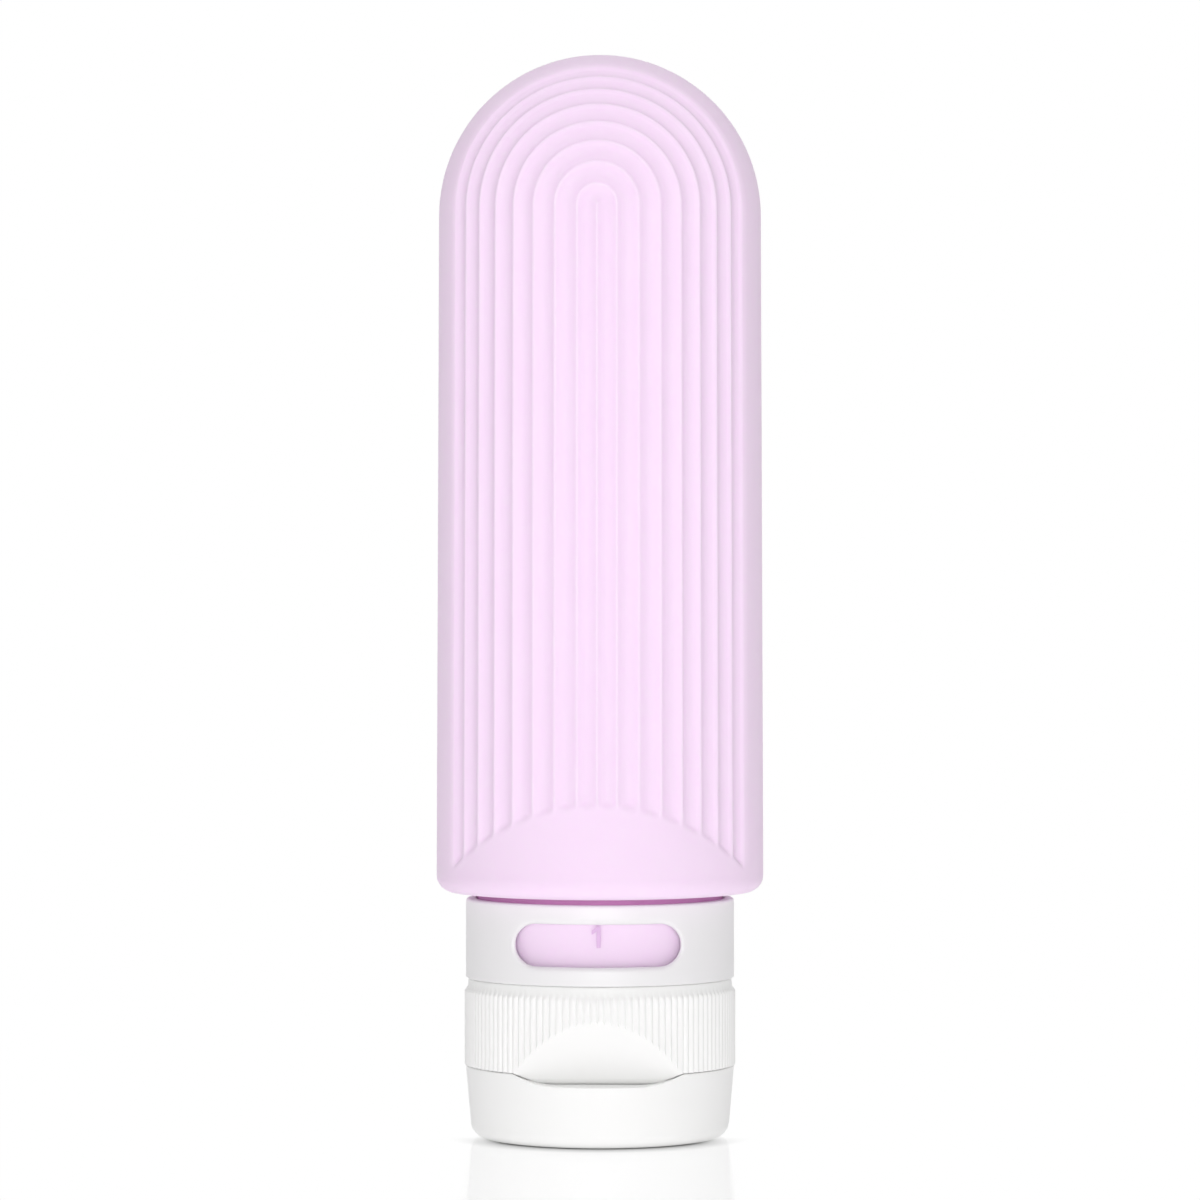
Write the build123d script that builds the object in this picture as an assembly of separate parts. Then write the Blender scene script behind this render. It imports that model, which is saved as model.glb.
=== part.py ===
from build123d import *
from math import asin, cos, degrees, radians, sin, sqrt, tan
import os

os.makedirs("parts", exist_ok=True)

# Driving dimensions, in millimetres and degrees. The bottle stands upside down on its
# lid, so Z runs from the lid up to the rounded base, and the front is -Y.

# Lid
lid_height = 8.95
lid_inset = 0.15
lid_draft = 5.0
lid_corner = 1.7
lid_wall = 1.3
lid_plate = 1.4
lid_inner_corner = 0.8
lid_rim_round = 0.32
plug_wall = 1.0
plug_reach = 1.5
plug_clearance = 0.3
lip_reach = 2.4
lip_height = 2.4
notch_drop = 1.3
notch_flat_half_width = 5.0

# Hinge web at the back, in two halves that meet at the hinge line
parting_gap = 0.1
web_width = 9.0
web_proud = 0.3
web_depth = 1.3
web_reach = 1.6

# Screw cap
cap_height = 10.7
cap_wall = 2.35
rib_proud = 0.85
rib_depth = 0.35
rib_count = 120
shoulder_height = 1.25
shoulder_round = 0.7
seat_thickness = 2.85
deck_drop = 2.0
deck_clearance = 0.35
deck_thickness = 1.5
deck_recess_inset = 0.6
spout_bore_r = 3.7
spout_wall = 1.5
spout_reach = 1.55
scoop_rise = 6.75
scoop_depth = 3.57
scoop_sagitta = 0.08
skirt_clearance = 0.1

# Dispensing valve and the ring that keeps it in its boss
valve_r = 6.2
valve_rim_width = 1.6
valve_rim_thickness = 0.8
valve_skin = 0.45
slit_length = 4.8
slit_width = 0.1
retainer_thickness = 0.8
boss_wall = 1.2
boss_rise = 0.25
press_clearance = 0.05

# Thread and gasket
pitch = 3.0
neck_turns = 1.5
cap_turns = 1.0
thread_depth = 0.8
thread_root_width = 1.1
thread_crest_width = 0.6
thread_sink_share = 0.25
thread_clearance = 0.2
thread_start = 0.8
gasket_thickness = 1.0
gasket_inset = 0.1

# Rigid neck sleeve
finish_r = 12.7
finish_wall = 1.5
sleeve_step = 0.85
sleeve_wall = 1.6
flange_thickness = 0.8
flange_inset = 0.1
keeper_width = 2.0
keeper_thickness = 1.2

# Label collar that turns on the neck
collar_gap = 0.15
collar_height = 9.85
collar_wall = 1.15
collar_clearance = 0.3
collar_round = 0.4
collar_foot_round = 0.2
bead_gap = 0.15
bead_thickness = 0.65
bead_catch = 0.4
window_sill = 2.3
window_height = 5.2
window_half_angle = 37.0

# Raised numbers on the soft neck band
digit_count = 5
digit_sill = 4.65
digit_height = 2.6
digit_width = 1.5
digit_stroke = 0.45
digit_rise = 0.2

# Squeeze body
band_wall = 1.7
neck_round = 0.7
body_gap = 0.8
body_floor = 2.05
body_wall = 2.0
straight_height = 84.25
shoulder_width = 5.1
side_taper = 0.3
base_corner = 2.0
body_inner_corner = 1.5

# Grooves between the ribs of the squeeze body
groove_pairs = 7
first_groove_angle = 6.9
groove_step = 7.85
groove_tool_r = 0.5
groove_depth = 0.4
panel_arch_r = 24.4
panel_height = 11.15

overrun = 1.0

# Radii, each from the piece inside it
finish_bore_r = finish_r - finish_wall
thread_r = finish_r + thread_depth
cap_bore_r = thread_r + thread_clearance
shoulder_r = cap_bore_r + cap_wall
rib_r = shoulder_r + rib_proud
lid_rim_r = rib_r - lid_inset
lid_inner_r = lid_rim_r - lid_wall
deck_r = lid_inner_r - deck_clearance
deck_recess_r = finish_bore_r - deck_recess_inset
plug_r = spout_bore_r - plug_clearance
sleeve_r = finish_r + sleeve_step
sleeve_bore_r = sleeve_r - sleeve_wall
band_in_r = sleeve_r + press_clearance
band_r = band_in_r + band_wall
collar_bore_r = band_r + collar_clearance
collar_r = collar_bore_r + collar_wall
base_r = band_r + shoulder_width
dome_r = base_r - side_taper
hinge_y = rib_r + web_proud

# Levels, stacked up from the lid
parting_z = lid_height + parting_gap
deck_z = parting_z - deck_drop
spout_z = deck_z - spout_reach
valve_z = deck_z + deck_thickness
retainer_z = valve_z + valve_rim_thickness
seat_z = parting_z + seat_thickness
mouth_z = seat_z + gasket_thickness
cap_top_z = parting_z + cap_height
collar_z = cap_top_z + collar_gap
collar_top_z = collar_z + collar_height
flange_z = collar_z + flange_inset
bead_z = flange_z + flange_thickness + bead_gap
band_z = bead_z + bead_thickness + bead_gap
shoulder_z = collar_top_z + body_gap
floor_z = shoulder_z + body_floor
dome_z = shoulder_z + straight_height


def turned(points, rounds=0):
    """Solid of revolution about Z from a closed outline of (radius, height) points."""
    outline = FilletPolyline(*points, radius=rounds, close=True) if rounds else Polyline(*points, close=True)
    return revolve(Plane.XZ * make_face(outline), Axis.Z)


def ring(outer_r, inner_r, low_z, high_z):
    """Plain ring about Z."""
    return turned([(inner_r, low_z), (outer_r, low_z), (outer_r, high_z), (inner_r, high_z)])


def disc(radius, low_z, high_z):
    """Plain disc about Z."""
    return Pos(0, 0, low_z) * Cylinder(radius, high_z - low_z, align=(Align.CENTER, Align.CENTER, Align.MIN))


def block(low, high):
    """Box between two opposite corners."""
    size = [b - a for a, b in zip(low, high)]
    return Pos(*low) * Box(*size, align=(Align.MIN, Align.MIN, Align.MIN))


def rod(start, end, radius):
    """Round rod from one point to another, with a ball at its far end."""
    way = Vector(end) - Vector(start)
    along = Plane(origin=start, z_dir=way)
    return [
        along * Cylinder(radius, way.length, align=(Align.CENTER, Align.CENTER, Align.MIN)),
        Pos(*end) * Sphere(radius),
    ]


def thread_ridge(root_r, crest_r, start_z, turns):
    """Right-hand helical ridge between two radii, sunk a little into the wall it stands on."""
    sink = (root_r - crest_r) * thread_sink_share
    corners = [
        (root_r + sink, start_z - thread_root_width / 2),
        (crest_r, start_z - thread_crest_width / 2),
        (crest_r, start_z + thread_crest_width / 2),
        (root_r + sink, start_z + thread_root_width / 2),
    ]
    section = Plane.XZ * make_face(Polyline(*corners, close=True))
    path = Helix(pitch=pitch, height=pitch * turns, radius=root_r, center=(0, 0, start_z))
    return sweep(section, path=path, is_frenet=True)


def body_r(z):
    """Outside radius of the squeeze body's slightly tapered side at a height."""
    foot_z = shoulder_z + base_corner
    return base_r + (dome_r - base_r) * (z - foot_z) / (dome_z - foot_z)


def panel_edge_z(x):
    """Height at which the grooves stop above the smooth lower panel, across the front."""
    return shoulder_z + panel_height - panel_arch_r + sqrt(panel_arch_r**2 - x**2)


def groove_leg(angle):
    """Straight groove down the body's side, from the dome to the smooth panel."""
    turn = radians(angle)
    low_z = panel_edge_z(dome_r * sin(turn))
    lift = groove_tool_r - groove_depth
    ends = [
        ((body_r(z) + lift) * sin(turn), -(body_r(z) + lift) * cos(turn), z)
        for z in (dome_z, low_z)
    ]
    return rod(*ends, groove_tool_r)


def groove_arch(angle):
    """Half ring over the dome that joins the two legs of one groove."""
    turn = radians(angle)
    path_r = dome_r + groove_tool_r - groove_depth
    centre = (0, -path_r * cos(turn), dome_z)
    hoop = Plane(origin=centre, z_dir=(0, 1, 0)) * Torus(path_r * sin(turn), groove_tool_r)
    reach = dome_r + overrun
    return hoop & block((-reach, -reach, dome_z), (reach, reach, dome_z + reach))


def front_grooves():
    """The middle groove and the nested horseshoe grooves on either side of it."""
    tools = groove_leg(0)
    for i in range(groove_pairs):
        angle = first_groove_angle + i * groove_step
        tools += groove_leg(angle) + groove_leg(-angle) + [groove_arch(angle)]
    return tools


def body_outline():
    """Half section of the squeeze body, as joined lines and arcs in (radius, height)."""
    side_in_r = base_r - body_wall
    root_r = band_r + neck_round
    foot_r = base_r - base_corner
    corner_in_r = side_in_r - body_inner_corner
    crown_in_r = dome_r - body_wall
    return [
        Polyline(
            (band_in_r, floor_z), (band_in_r, band_z), (band_r, band_z), (band_r, shoulder_z - neck_round)
        ),
        CenterArc((root_r, shoulder_z - neck_round), neck_round, 180, -90),
        Line((root_r, shoulder_z), (foot_r, shoulder_z)),
        CenterArc((foot_r, shoulder_z + base_corner), base_corner, -90, 90),
        Line((base_r, shoulder_z + base_corner), (dome_r, dome_z)),
        CenterArc((0, dome_z), dome_r, 0, 90),
        Line((0, dome_z + dome_r), (0, dome_z + crown_in_r)),
        CenterArc((0, dome_z), crown_in_r, 90, -90),
        Line((crown_in_r, dome_z), (side_in_r, floor_z + body_inner_corner)),
        CenterArc((corner_in_r, floor_z + body_inner_corner), body_inner_corner, 0, -90),
        Line((corner_in_r, floor_z), (band_in_r, floor_z)),
    ]


# Strokes of the numbers 1 to 5, in shares of a number's width and height
digit_stroke_shares = [
    [[(-0.3, 0.75), (0.1, 1.0), (0.1, 0.0)]],
    [[(-0.5, 0.8), (-0.2, 1.0), (0.25, 1.0), (0.5, 0.75), (0.4, 0.45), (-0.5, 0.0), (0.5, 0.0)]],
    [[(-0.5, 1.0), (0.5, 1.0), (0.0, 0.6), (0.4, 0.5), (0.5, 0.25), (0.2, 0.0), (-0.5, 0.1)]],
    [[(0.25, 0.0), (0.25, 1.0), (-0.5, 0.35)], [(-0.5, 0.3), (0.5, 0.3)]],
    [[(0.45, 1.0), (-0.4, 1.0), (-0.45, 0.55), (0.2, 0.6), (0.5, 0.3), (0.2, 0.0), (-0.5, 0.1)]],
]


def raised_digit(index):
    """One number, upright when the bottle stands on its lid, curved to the neck band."""
    base_z = collar_z + digit_sill
    strokes = Sketch()
    for shares in digit_stroke_shares[index]:
        points = [(x * digit_width, base_z + z * digit_height) for x, z in shares]
        strokes += trace(Polyline(*points), digit_stroke)
    plate = extrude(Plane.XZ * strokes, band_r + overrun)
    rim = ring(band_r + digit_rise, band_r - digit_rise, band_z, shoulder_z)
    return Rot(0, 0, index * 360 / digit_count) * (plate & rim)


def squeeze_body():
    """Soft bottle with its neck band, hollow inside, grooved front and back."""
    body = revolve(Plane.XZ * make_face(body_outline()), Axis.Z)
    grooves = front_grooves()
    body -= grooves
    body -= [Rot(0, 0, 180) * tool for tool in grooves]
    return body + [raised_digit(i) for i in range(digit_count)]


def neck_sleeve():
    """Rigid threaded tube that stiffens the soft neck and carries the cap."""
    keeper_z = floor_z + press_clearance
    keeper_r = sleeve_r + keeper_width
    flange_top_z = flange_z + flange_thickness
    tube = turned([
        (finish_bore_r, mouth_z),
        (finish_r, mouth_z),
        (finish_r, flange_z),
        (band_r, flange_z),
        (band_r, flange_top_z),
        (sleeve_r, flange_top_z),
        (sleeve_r, keeper_z),
        (keeper_r, keeper_z),
        (keeper_r, keeper_z + keeper_thickness),
        (sleeve_bore_r, keeper_z + keeper_thickness),
        (sleeve_bore_r, flange_top_z),
        (finish_bore_r, flange_z),
    ])
    return tube + thread_ridge(finish_r, thread_r, mouth_z + thread_start, neck_turns)


def window_cut():
    """Slot with round ends through the front of the collar."""
    low_z = collar_z + window_sill
    end_r = window_height / 2
    end_angle = window_half_angle - degrees(end_r / collar_r)
    reach = collar_r + overrun
    inner = collar_bore_r - overrun
    high_z = low_z + window_height
    flat = Plane.XZ * make_face(
        Polyline((inner, low_z), (reach, low_z), (reach, high_z), (inner, high_z), close=True)
    )
    slot = Rot(0, 0, -90 - end_angle) * revolve(flat, Axis.Z, 2 * end_angle)
    drill = Plane(origin=(0, 0, low_z + end_r), z_dir=(0, -1, 0)) * Cylinder(
        end_r, reach, align=(Align.CENTER, Align.CENTER, Align.MIN)
    )
    return [slot] + [Rot(0, 0, side * end_angle) * drill for side in (-1, 1)]


def label_collar():
    """Ring that turns on the neck and shows one number through its window."""
    bead_r = band_r - bead_catch
    bead_top_z = bead_z + bead_thickness
    shell = turned(
        [
            (collar_bore_r, collar_z),
            (collar_r, collar_z),
            (collar_r, collar_top_z),
            (collar_bore_r, collar_top_z),
            (collar_bore_r, bead_top_z),
            (bead_r, bead_top_z),
            (bead_r, bead_z),
            (collar_bore_r, bead_z),
        ],
        [0, collar_foot_round, collar_round, 0, 0, 0, 0, 0],
    )
    return shell - window_cut()


def neck_gasket():
    """Flat sealing ring that lies on the bottle's mouth and meets the cap's seat."""
    return ring(finish_r - gasket_inset, finish_bore_r + gasket_inset, seat_z, mouth_z)


def ribbed_ring():
    """Outside of the cap, a full disc edged by fine upright ribs with round tops."""
    step = 360 / rib_count
    crests = []
    for i in range(rib_count):
        low, top, high = (
            (r * cos(radians(a)), r * sin(radians(a)))
            for r, a in (
                (rib_r - rib_depth, i * step),
                (rib_r, (i + 0.5) * step),
                (rib_r - rib_depth, (i + 1) * step),
            )
        )
        crests.append(ThreePointArc(low, top, high))
    return Pos(0, 0, parting_z) * extrude(make_face(crests), cap_height - shoulder_height)


def thumb_scoop():
    """Hollow for the thumb, cut into the front of the cap down to the lid."""
    top = (-rib_r, parting_z + scoop_rise)
    rise = scoop_rise + deck_drop
    foot = (-rib_r + scoop_depth * rise / scoop_rise, parting_z - deck_drop)
    middle = ((top[0] + foot[0]) / 2 + scoop_sagitta, (top[1] + foot[1]) / 2)
    front = -rib_r - overrun
    low_z = deck_z - overrun
    side = [
        ThreePointArc(top, middle, foot),
        Polyline(foot, (foot[0], low_z), (front, low_z), (front, top[1]), top),
    ]
    return extrude(Plane.YZ * make_face(side), rib_r, both=True)


def notch():
    """Dip through the front wall of the lid, flat in the middle with swept-up ends."""
    half_width = sqrt(rib_r**2 - (rib_r - scoop_depth) ** 2)
    low_z = lid_height - notch_drop
    sweep_run = half_width - notch_flat_half_width
    sweep_r = (sweep_run**2 + notch_drop**2) / (2 * notch_drop)
    turn = degrees(asin(sweep_run / sweep_r))
    sides = [
        CenterArc((side * notch_flat_half_width, low_z + sweep_r), sweep_r, -90, side * turn)
        for side in (-1, 1)
    ]
    floor = Line((-notch_flat_half_width, low_z), (notch_flat_half_width, low_z))
    top = Polyline(
        (half_width, lid_height),
        (half_width, lid_height + overrun),
        (-half_width, lid_height + overrun),
        (-half_width, lid_height),
    )
    dip = extrude(Plane.XZ * make_face(sides + [floor, top]), lid_rim_r + overrun)
    return dip - block((-half_width, -lid_rim_r / 2, 0), (half_width, 0, lid_height + overrun))


def hinge_web(low_z, high_z):
    """Half of the flexible web that joins the lid to the cap at the back."""
    return block((-web_width / 2, hinge_y - web_depth, low_z), (web_width / 2, hinge_y, high_z))


def screw_cap():
    """Ribbed cap with its thread, deck, spout, the valve's boss and a skirt in the lid's notch."""
    rib_top_z = cap_top_z - shoulder_height
    boss_in_r = valve_r + press_clearance
    boss_top_z = retainer_z + retainer_thickness + boss_rise
    shoulder = turned(
        [(0, rib_top_z), (shoulder_r, rib_top_z), (shoulder_r, cap_top_z), (0, cap_top_z)],
        [0, 0, shoulder_round, 0],
    )
    skirt = (Pos(0, 0, skirt_clearance) * notch()) & disc(lid_rim_r, deck_z, parting_z)
    cap = ribbed_ring() + shoulder + disc(deck_r, deck_z, seat_z) + skirt
    cap -= thumb_scoop()
    cap += disc(spout_bore_r + spout_wall, spout_z, seat_z)
    cap -= disc(cap_bore_r, seat_z, cap_top_z + overrun)
    cap -= disc(deck_recess_r, valve_z, cap_top_z)
    cap += ring(boss_in_r + boss_wall, boss_in_r, valve_z, boss_top_z)
    cap -= disc(spout_bore_r, spout_z - overrun, cap_top_z)
    cap += hinge_web(parting_z, parting_z + web_reach)
    start_z = mouth_z + thread_start + pitch / 2
    return cap + thread_ridge(cap_bore_r, finish_r + thread_clearance, start_z, cap_turns)


def slit_valve():
    """Soft disc with a crossed slit that opens when the bottle is squeezed."""
    hollow_r = valve_r - valve_rim_width
    valve = disc(valve_r, valve_z, retainer_z) - disc(hollow_r, valve_z + valve_skin, retainer_z)
    half = (slit_length / 2, slit_width / 2)
    for reach_x, reach_y in (half, half[::-1]):
        valve -= block((-reach_x, -reach_y, valve_z), (reach_x, reach_y, valve_z + valve_skin))
    return valve


def valve_retainer():
    """Ring pressed into the boss above the valve."""
    return ring(valve_r, valve_r - valve_rim_width, retainer_z, retainer_z + retainer_thickness)


def lid_shell():
    """Tapered cup of the lid, with its flat face down."""
    lean = tan(radians(lid_draft))
    inner_r = lid_inner_r - (lid_height - lid_plate) * lean
    return turned(
        [
            (0, 0),
            (lid_rim_r - lid_height * lean, 0),
            (lid_rim_r, lid_height),
            (lid_inner_r, lid_height),
            (inner_r, lid_plate),
            (0, lid_plate),
        ],
        [0, lid_corner, lid_rim_round, lid_rim_round, lid_inner_corner, 0],
    )


def thumb_lip():
    """Ledge inside the front of the lid, for the thumb to push down on."""
    low_z = lid_height - lip_height
    fill = disc(lid_inner_r, low_z, lid_height)
    return fill & block((-lid_rim_r, -lid_rim_r, low_z), (lid_rim_r, lip_reach - lid_inner_r, lid_height))


def flip_lid():
    """Lid with its hollow plug, thumb lip and half of the hinge web."""
    plug_top_z = spout_z + plug_reach
    lid = lid_shell() + thumb_lip()
    lid -= notch()
    lid += ring(plug_r, plug_r - plug_wall, 0, plug_top_z)
    return lid + hinge_web(lid_height - web_reach, lid_height)


for piece in (
    squeeze_body,
    neck_sleeve,
    label_collar,
    neck_gasket,
    screw_cap,
    slit_valve,
    valve_retainer,
    flip_lid,
):
    export_step(piece(), f"parts/{piece.__name__}.step")
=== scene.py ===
from math import asin, atan2, cos, degrees, hypot, pi, radians, sin, sqrt, tan

import bmesh
import bpy
from mathutils import Matrix, Vector


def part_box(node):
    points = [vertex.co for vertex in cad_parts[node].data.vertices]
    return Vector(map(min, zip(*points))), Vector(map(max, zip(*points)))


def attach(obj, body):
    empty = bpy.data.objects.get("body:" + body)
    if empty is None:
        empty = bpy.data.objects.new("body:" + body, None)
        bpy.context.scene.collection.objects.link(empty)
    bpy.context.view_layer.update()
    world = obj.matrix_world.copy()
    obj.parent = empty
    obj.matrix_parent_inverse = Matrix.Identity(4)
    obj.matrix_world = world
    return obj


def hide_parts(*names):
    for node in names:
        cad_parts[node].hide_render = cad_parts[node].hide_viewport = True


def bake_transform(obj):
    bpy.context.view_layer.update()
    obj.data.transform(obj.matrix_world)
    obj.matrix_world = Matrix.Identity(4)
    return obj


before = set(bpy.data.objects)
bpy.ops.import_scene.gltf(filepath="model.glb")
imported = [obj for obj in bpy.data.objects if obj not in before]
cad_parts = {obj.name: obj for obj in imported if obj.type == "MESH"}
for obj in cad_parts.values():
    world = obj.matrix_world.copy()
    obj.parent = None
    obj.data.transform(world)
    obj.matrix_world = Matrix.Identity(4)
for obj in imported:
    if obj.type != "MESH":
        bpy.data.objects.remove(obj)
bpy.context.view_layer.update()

# Squeeze bottle: a soft tube with a round base, fluted front and back, whose neck band
# carries raised numbers. It is compression-moulded in one piece from silicone rubber,
# and its neck is stretched over the rigid sleeve.

body_low, body_high = (corner * 1000 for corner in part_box("squeeze_body"))
base_r = body_high.x
side_taper = 0.3
dome_r = base_r - side_taper
dome_z = body_high.z - dome_r
body_wall = 2.0
shoulder_width = 5.1
band_r = base_r - shoulder_width
band_wall = 1.7
band_low_z = body_low.z
shoulder_z = band_low_z + 8.8
neck_round = 0.7
foot_round = 2.0
body_floor = 2.05
floor_round = 1.5

flute_depth = 0.6
middle_flute = 6.9
flute_width = 7.85
flute_count = 8
crest_round = 0.25
columns_per_flute = 14
side_columns = 16
dome_steps = 60

panel_arch_r = 24.4
panel_height = 11.15
panel_recess = 0.1
panel_edge_softness = 0.7
panel_fade_start = 48
panel_fade_span = 10
panel_row = 0.35
foot_fade = 1.0
side_rows = 8
lip_edge = 0.15

# Painted shade: a band of deeper pink round the neck's root, just under the shoulder, stands for
# the shade in the gap above the collar.
gap_shade_z = shoulder_z - 0.75
gap_shade_half_height = 0.45
gap_shade_fade = 0.3
painted_gap_shade_pink = "DC98CE"


def steps(first, last, count):
    """Even values from just after the first up to the last."""
    return [first + (last - first) * (i + 1) / count for i in range(count)]


def ease(value):
    """Smooth step from 0 to 1."""
    value = min(max(value, 0.0), 1.0)
    return value * value * (3 - 2 * value)


def corner_arc(centre_r, centre_z, radius, start, turn, count=6):
    """Points of a rounded corner in (radius, height), from its start angle round by a turn."""
    return [
        (centre_r + radius * cos(radians(a)), centre_z + radius * sin(radians(a)))
        for a in [start] + steps(start, start + turn, count)
    ]


def edge_loop(bm):
    """Open edges of a mesh."""
    return [e for e in bm.edges if len(e.link_faces) == 1]


def pull_ring(bm, ring, radius, height):
    """Draws a ring of edges on to another radius and height, and leaves faces behind it."""
    pulled = bmesh.ops.extrude_edge_only(bm, edges=ring)["geom"]
    for v in pulled:
        if isinstance(v, bmesh.types.BMVert):
            share = radius / hypot(v.co.x, v.co.y)
            v.co = (v.co.x * share, v.co.y * share, height)
    return [e for e in pulled if isinstance(e, bmesh.types.BMEdge)]


def take_in(bm, other):
    """Adds another mesh to this one and frees it."""
    held = bpy.data.meshes.new("held")
    other.to_mesh(held)
    other.free()
    bm.from_mesh(held)
    bpy.data.meshes.remove(held)


def close_up(bm, gap=0.0005):
    """Welds seams and poles, drops loose edges, and turns every face outwards."""
    bmesh.ops.remove_doubles(bm, verts=bm.verts, dist=gap)
    bmesh.ops.delete(bm, geom=[e for e in bm.edges if not e.link_faces], context="EDGES")
    bmesh.ops.recalc_face_normals(bm, faces=bm.faces)


def finished(bm, name, material, crisp_angle=40, weighted=True):
    """Makes an object of a mesh drawn in millimetres, smooth between its crisp edges."""
    bmesh.ops.scale(bm, vec=(0.001, 0.001, 0.001), verts=bm.verts)
    mesh = bpy.data.meshes.new(name)
    bm.to_mesh(mesh)
    bm.free()
    mesh.shade_smooth()
    mesh.set_sharp_from_angle(angle=radians(crisp_angle))
    mesh.materials.append(material)
    piece = bpy.data.objects.new(name, mesh)
    bpy.context.scene.collection.objects.link(piece)
    if weighted:
        even = piece.modifiers.new("even shading", "WEIGHTED_NORMAL")
        even.keep_sharp = True
    return piece


def add_node(tree, kind, inputs=None, **settings):
    """Adds a shader node, sets it up, and fills its inputs with values or links."""
    node = tree.nodes.new(kind)
    for key, value in settings.items():
        setattr(node, key, value)
    for key, value in (inputs or {}).items():
        if isinstance(value, bpy.types.NodeSocket):
            tree.links.new(value, node.inputs[key])
        else:
            node.inputs[key].default_value = value
    return node


def linear(hex_colour):
    """Turns an sRGB hex colour into the linear colour that shaders use."""
    channels = [int(hex_colour[i:i + 2], 16) / 255 for i in (0, 2, 4)]
    return [c / 12.92 if c <= 0.04045 else ((c + 0.055) / 1.055) ** 2.4 for c in channels] + [1.0]


def new_material(name):
    """Empty material and its tree."""
    material = bpy.data.materials.new(name)
    material.use_nodes = True
    material.node_tree.nodes.clear()
    return material, material.node_tree


def moulded_colour(tree, pale, deep, patch_mm):
    """Colour that drifts between two close shades in soft patches, as batches of pigment do."""
    place = add_node(tree, "ShaderNodeTexCoord")
    patches = add_node(
        tree, "ShaderNodeTexNoise",
        {
            "Vector": place.outputs["Object"],
            "Scale": 1000 / patch_mm,
            "Detail": 2.0,
            "Roughness": 0.45,
        },
    )
    mix = add_node(
        tree, "ShaderNodeMix",
        {"Factor": patches.outputs["Fac"], "A": linear(pale), "B": linear(deep)},
        data_type="RGBA",
    )
    return mix.outputs["Result"]


def spark_texture(tree, grain_mm, depth_mm, strength):
    """Bump of a spark-eroded mould wall, with its grain and depth in millimetres.

    The real grain is about 0.05 mm. It is drawn several times coarser, so that it shows.
    """
    place = add_node(tree, "ShaderNodeTexCoord")
    grain = add_node(
        tree, "ShaderNodeTexNoise",
        {
            "Vector": place.outputs["Object"],
            "Scale": 1000 / grain_mm,
            "Detail": 3.0,
            "Roughness": 0.55,
        },
    )
    bump = add_node(
        tree, "ShaderNodeBump",
        {"Strength": strength, "Distance": depth_mm / 1000, "Height": grain.outputs["Fac"]},
    )
    return bump.outputs["Normal"]


def silicone_rubber(name, pale, deep):
    """Translucent satin rubber of two close shades, with painted shade: deeper pink on a band at
    the neck's root, in the gap above the collar.
    """
    material, tree = new_material(name)
    place = add_node(tree, "ShaderNodeTexCoord")
    split = add_node(tree, "ShaderNodeSeparateXYZ", {"Vector": place.outputs["Object"]})
    # Painted shade: the colour turns deeper pink on a band round the neck's root, where the gap
    # above the collar lies in shade.
    above_gap_shade = add_node(
        tree, "ShaderNodeMath", {0: split.outputs["Z"], 1: gap_shade_z / 1000}, operation="SUBTRACT",
    )
    from_gap_shade = add_node(tree, "ShaderNodeMath", {0: above_gap_shade.outputs[0]}, operation="ABSOLUTE")
    unshaded_share = add_node(
        tree, "ShaderNodeMapRange",
        {
            "Value": from_gap_shade.outputs[0],
            "From Min": gap_shade_half_height / 1000,
            "From Max": (gap_shade_half_height + gap_shade_fade) / 1000,
        },
    )
    rubber = add_node(
        tree, "ShaderNodeMix",
        {
            "Factor": unshaded_share.outputs["Result"],
            "A": linear(painted_gap_shade_pink),
            "B": moulded_colour(tree, pale, deep, patch_mm=9.0),
        },
        data_type="RGBA",
    )
    skin = add_node(
        tree, "ShaderNodeBsdfPrincipled",
        {
            "Base Color": rubber.outputs["Result"],
            "Roughness": 0.6,
            "IOR": 1.41,
            "Specular IOR Level": 0.35,
            "Subsurface Weight": 0.4,
            "Subsurface Radius": (1.0, 0.8, 1.0),
            "Subsurface Scale": 0.001,
            "Normal": spark_texture(tree, grain_mm=0.3, depth_mm=0.006, strength=0.5),
        },
        subsurface_method="RANDOM_WALK",
    )
    add_node(tree, "ShaderNodeOutputMaterial", {"Surface": skin.outputs["BSDF"]})
    return material


# Silicone rubber, compression-moulded in a fine spark-eroded mould: translucent, so light
# spreads under its skin and thin edges glow, with a satin face and no sharp reflections.
silicone = silicone_rubber("silicone_rubber_satin_moulded", "F8E1F9", "F6DEF7")


def crest_angles():
    """Angles of the crests from the front, with one flute between each and the next."""
    return [0.0] + [middle_flute + i * flute_width for i in range(flute_count)]


def column_angles():
    """Angles from front to back at which the body has a column of vertices."""
    crests = crest_angles()
    front = [0.0]
    for low, high in zip(crests, crests[1:]):
        front += steps(low, high, columns_per_flute)
    side = steps(front[-1], 180 - front[-1], side_columns)[:-1]
    return front + side + [180 - a for a in reversed(front)]


def flute_share(angle):
    """How deep the surface lies at an angle from the front, from 0 on a crest to 1 in a flute."""
    angle = min(angle, 180 - angle)
    crests = crest_angles()
    for low, high in zip(crests, crests[1:]):
        if angle <= high:
            aside = abs(2 * (angle - low) / (high - low) - 1)
            return (1 - aside**2) * ease((1 - aside) / crest_round)
    return 0.0


def panel_edge_z(x):
    """Height of the arch above which the flutes run."""
    return shoulder_z + panel_height - panel_arch_r + sqrt(max(panel_arch_r**2 - x**2, 0))


bm = bmesh.new()
profile = [
    bm.verts.new((dome_r * sin(radians(a)), -dome_r * cos(radians(a)), dome_z))
    for a in column_angles()
]
edges = [bm.edges.new(pair) for pair in zip(profile, profile[1:])]
bmesh.ops.spin(
    bm, geom=profile + edges, cent=(0, 0, dome_z), axis=(0, -1, 0), dvec=(0, 0, 0),
    angle=pi, steps=dome_steps, use_merge=False,
)
close_up(bm)
hollow = bm.copy()

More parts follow.
